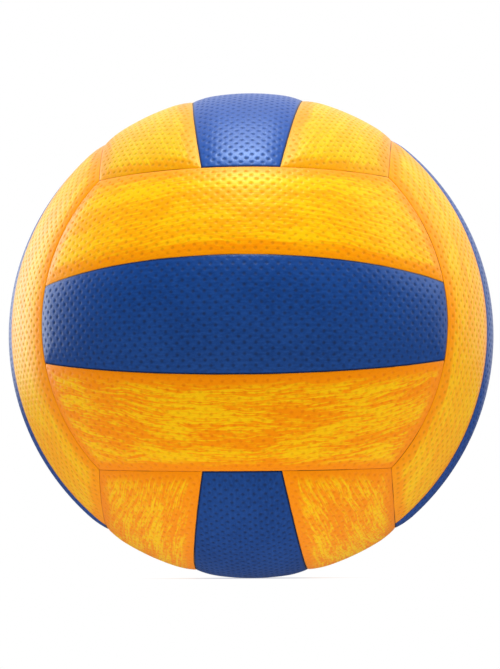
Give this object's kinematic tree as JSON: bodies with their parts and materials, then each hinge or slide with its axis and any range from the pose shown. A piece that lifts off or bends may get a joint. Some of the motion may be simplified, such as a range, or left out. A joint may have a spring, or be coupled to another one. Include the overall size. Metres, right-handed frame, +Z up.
{
  "type": "volleyball",
  "caption": "Laminated volleyball with dimpled yellow and blue strip panels, foam backing, carcass, bladder and needle valve.",
  "frame": {"origin": "centre of the ball", "axes": "+Z up with the front and back faces' strips level, +Y out through the valve, -Y towards the front face"},
  "size_m": [0.21, 0.2099, 0.21],
  "materials": {
    "yellow_cover": "satin dimpled synthetic leather, golden yellow with paler streaks",
    "blue_cover": "satin dimpled synthetic leather, royal blue",
    "foam": "soft closed-cell foam sheet",
    "carcass_rubber": "matt vulcanised rubber",
    "winding": "wound nylon thread in latex",
    "bladder_rubber": "smooth butyl rubber",
    "valve_rubber": "smooth moulded rubber"
  },
  "bodies": {
    "root": {"front_lower_panel": "yellow_cover", "front_middle_panel": "blue_cover", "front_upper_panel": "yellow_cover", "back_lower_panel": "yellow_cover", "back_middle_panel": "blue_cover", "back_upper_panel": "yellow_cover", "right_back_panel": "yellow_cover", "right_middle_panel": "blue_cover", "right_front_panel": "yellow_cover", "left_front_panel": "yellow_cover", "left_middle_panel": "blue_cover", "left_back_panel": "yellow_cover", "top_right_panel": "yellow_cover", "top_middle_panel": "blue_cover", "top_left_panel": "yellow_cover", "bottom_left_panel": "yellow_cover", "bottom_middle_panel": "blue_cover", "bottom_right_panel": "yellow_cover", "front_lower_foam": "foam", "front_middle_foam": "foam", "front_upper_foam": "foam", "back_lower_foam": "foam", "back_middle_foam": "foam", "back_upper_foam": "foam", "right_back_foam": "foam", "right_middle_foam": "foam", "right_front_foam": "foam", "left_front_foam": "foam", "left_middle_foam": "foam", "left_back_foam": "foam", "top_right_foam": "foam", "top_middle_foam": "foam", "top_left_foam": "foam", "bottom_left_foam": "foam", "bottom_middle_foam": "foam", "bottom_right_foam": "foam", "carcass": "carcass_rubber", "winding_layer": "winding", "bladder": "bladder_rubber", "valve_patch": "carcass_rubber", "balance_patch": "carcass_rubber", "valve_body": "valve_rubber", "valve_plug": "valve_rubber"}
  },
  "joints": []
}
